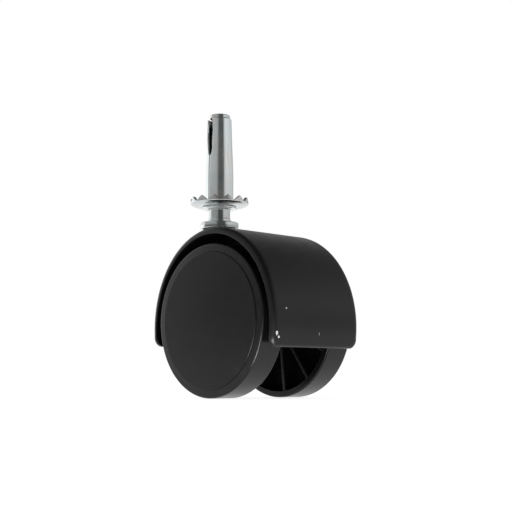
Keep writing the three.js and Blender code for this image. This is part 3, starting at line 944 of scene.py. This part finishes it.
def collar(material):
    """The pressed collar: a dished plate whose upturned wall ends in teeth."""
    path = collar_path()
    wall_r = COLLAR_R - COLLAR_PLATE
    flank = math.cos(math.atan2(TOOTH_TIP - TOOTH_VALLEY, math.pi * COLLAR_R / TEETH))
    count = TEETH * TOOTH_STEPS
    columns = []
    spots = {}
    for k in range(count):
        turn = TOOTH_PHASE + 2 * math.pi * k / count
        top = tooth_height(turn)
        column = []
        for index, (outer, inner) in enumerate(path):
            spots[(k, index)] = (turn, outer, inner)
            to_hole = outer.x - COLLAR_HOLE_R
            column.append((k, index, min(to_hole, (top - outer.y) * flank)))
        for extra, below in enumerate(WALL_SHARES):
            height = top - (top - WALL_FOOT) * below
            index = len(path) + extra
            spots[(k, index)] = (turn, Vector((COLLAR_R, height)), Vector((wall_r, height)))
            column.append((k, index, (top - height) * flank))
        columns.append(column)

    def place(k, index, depth):
        turn, outer, inner = spots[(k, index)]
        spot = outer + (inner - outer).normalized() * depth
        return about_stem(spot.x * math.cos(turn), spot.x * math.sin(turn), spot.y)

    def thickness(k, index):
        _, outer, inner = spots[(k, index)]
        return (inner - outer).length

    shape = Shape()
    shape.shell(
        columns, place, thickness, lambda k, i: COLLAR_EDGE_ROUND, SHEET_INNER_ROUND, closed=True
    )
    return shape.piece("socket_toothed_collar", "socket", "toothed_collar", material)


def hidden_finishes():
    """Better materials for the small CAD pieces that keep their own meshes."""
    dark = zinc("oiled_spring_steel", streaks=(1, 1, 0.3), shade=0.16, roughness=0.35)
    bright = zinc("drawn_axle_steel", streaks=(1, 0.1, 1), shade=0.5, roughness=0.25)
    plain = zinc("rolled_bush_steel", streaks=(1, 1, 0.2), shade=0.4, roughness=0.32)
    finishes = {
        "stem_snap_ring": dark,
        "axle_clip_left": dark,
        "axle_clip_right": dark,
        "axle": bright,
        "swivel_bush": plain,
        "hub_washer_left": plain,
        "hub_washer_right": plain,
    }
    for node, material in finishes.items():
        for material_slot in frame["nodes"][node].material_slots:
            material_slot.material = material


# ======== Surroundings ========
def floor():
    """A pale floor, level with the bottom of the wheels."""
    data = bpy.data.meshes.new("studio_floor")
    level = AXLE_Z * MM - WHEEL_R * MM
    made = bmesh.new()
    reach = FLOOR_REACH * MM
    corners = [(-reach, -reach), (reach, -reach), (reach, reach), (-reach, reach)]
    made.faces.new([made.verts.new((x, y, level)) for x, y in corners])
    made.to_mesh(data)
    made.free()
    ground = in_scene("studio_floor", data)
    material = bpy.data.materials.new("pale_floor")
    nodes = Nodes(material)
    nodes.finish(nodes.add("ShaderNodeBsdfPrincipled", {
        "Base Color": grey(FLOOR_SHADE),
        "Roughness": FLOOR_ROUGHNESS,
        "Emission Color": grey(1),
        "Emission Strength": FLOOR_GLOW,
    }))
    data.materials.append(material)


def world():
    """A pale studio: bright behind and to the sides, and dim where a photographer would stand."""
    surroundings = bpy.data.worlds.new("studio")
    bpy.context.scene.world = surroundings
    nodes = Nodes(surroundings)
    way = nodes.add("ShaderNodeTexCoord").outputs["Generated"]
    split = nodes.add("ShaderNodeSeparateXYZ", {0: way})
    x, y = split.outputs[0], split.outputs[1]
    ahead_x, ahead_y = math.sin(CAMERA_AZIMUTH), -math.cos(CAMERA_AZIMUTH)
    ahead = nodes.math("ADD", nodes.math("MULTIPLY", x, ahead_x), nodes.math("MULTIPLY", y, ahead_y))
    aside = nodes.math("ADD", nodes.math("MULTIPLY", x, -ahead_y), nodes.math("MULTIPLY", y, ahead_x))
    turn = nodes.spread(nodes.math("ARCTAN2", aside, ahead), -math.pi, math.pi)
    bands = []
    for stops in (LOW_STUDIO, HIGH_STUDIO):
        ramp = nodes.add("ShaderNodeValToRGB", {0: turn})
        set_stops(ramp.color_ramp, stops)
        bands.append(ramp.outputs[0])
    rise = nodes.spread(split.outputs[2], LOW_STUDIO_TOP, HIGH_STUDIO_BOTTOM)
    level = nodes.mix(rise, *bands)
    overhead = nodes.spread(split.outputs[2], HIGH_STUDIO_TOP, OVERHEAD_BOTTOM)
    level = nodes.mix(overhead, level, grey(OVERHEAD))
    seen = nodes.add("ShaderNodeLightPath").outputs["Is Camera Ray"]
    colour = nodes.mix(seen, level, grey(1))
    background = nodes.add("ShaderNodeBackground", {"Color": colour, "Strength": 1.0})
    output = nodes.add("ShaderNodeOutputWorld")
    nodes.tree.links.new(background.outputs[0], output.inputs[0])


def set_stops(ramp, stops):
    """Fills a colour ramp from (degrees round from the camera, brightness) pairs."""
    while len(ramp.elements) > 1:
        ramp.elements.remove(ramp.elements[-1])
    for index, (degrees, value) in enumerate(stops):
        position = (degrees + 180) / 360
        element = ramp.elements[0] if index == 0 else ramp.elements.new(position)
        element.position = position
        element.color = grey(value)


def soft_light(name, azimuth, elevation, distance, size, power):
    """A square softbox aimed at the caster, placed by its direction from it."""
    out = direction(math.radians(azimuth), math.radians(elevation))
    data = bpy.data.lights.new(name, "AREA")
    data.shape = "SQUARE"
    data.size = size * MM
    data.energy = power
    lamp = in_scene(name, data)
    lamp.location = (Vector((AXLE_X, 0, AXLE_Z)) + out * distance) * MM
    lamp.rotation_euler = out.to_track_quat("Z", "Y").to_euler()


def floor_strip(azimuth, distance, power):
    """A narrow strip of light on the floor, hidden from the camera, which lights edges from below."""
    turn = math.radians(azimuth)
    data = bpy.data.lights.new("floor_strip", "AREA")
    data.shape = "RECTANGLE"
    data.size = STRIP_WIDTH * MM
    data.size_y = STRIP_LENGTH * MM
    data.energy = power
    lamp = in_scene("floor_strip", data)
    under_axle = Vector((AXLE_X, 0, AXLE_Z - WHEEL_R + STRIP_OVER_FLOOR))
    lamp.location = (under_axle + direction(turn, 0) * distance) * MM
    lamp.rotation_euler = (math.pi, 0, turn)
    lamp.visible_camera = False


def camera():
    out = direction(CAMERA_AZIMUTH, CAMERA_ELEVATION)
    right = Vector((math.cos(CAMERA_AZIMUTH), math.sin(CAMERA_AZIMUTH), 0))
    up = out.cross(right)
    aim = Vector((AXLE_X, 0, AXLE_Z)) + right * AIM_RIGHT + up * AIM_UP
    data = bpy.data.cameras.new("photo_view")
    data.lens = CAMERA_LENS
    data.sensor_width = CAMERA_SENSOR
    data.clip_start = CAMERA_NEAR * MM
    made = in_scene("photo_view", data)
    made.location = (aim + out * CAMERA_DISTANCE) * MM
    made.rotation_euler = out.to_track_quat("Z", "Y").to_euler()
    bpy.context.scene.camera = made


def build():
    hood(nylon("hood_nylon", roughness=0.34, marks=HOOD_SCRAPES))
    wheel_material = nylon("wheel_nylon", roughness=0.26)
    cover_material = nylon("cover_nylon", roughness=0.25, cloudiness=0.012)
    for name, side in (("left", -1), ("right", 1)):
        wheel(side, f"{name}_wheel", f"wheel_{name}", wheel_material)
        wheel_cover(side, f"{name}_wheel", f"wheel_cover_{name}", cover_material)
    # The stem's zinc is a darker copy of the sleeve's: its extra darkness is painted shade for the
    # collar's shadow and the dim surroundings of the neck.
    stem(zinc("zinc_turned_painted_shade", streaks=(0.3, 0.3, 1.6), shade=0.6, roughness=0.15))
    sleeve(zinc("zinc_drawn", streaks=(1, 1, 0.05)))
    collar(zinc("zinc_pressed", streaks=(1, 1, 1), shade=0.64, roughness=0.24))
    hidden_finishes()


camera()
floor()
world()
soft_light("key_softbox", azimuth=-20, elevation=50, distance=900, size=600, power=0.5)
floor_strip(azimuth=45, distance=69, power=0.036)
build()
bpy.context.scene.view_settings.view_transform = "Standard"
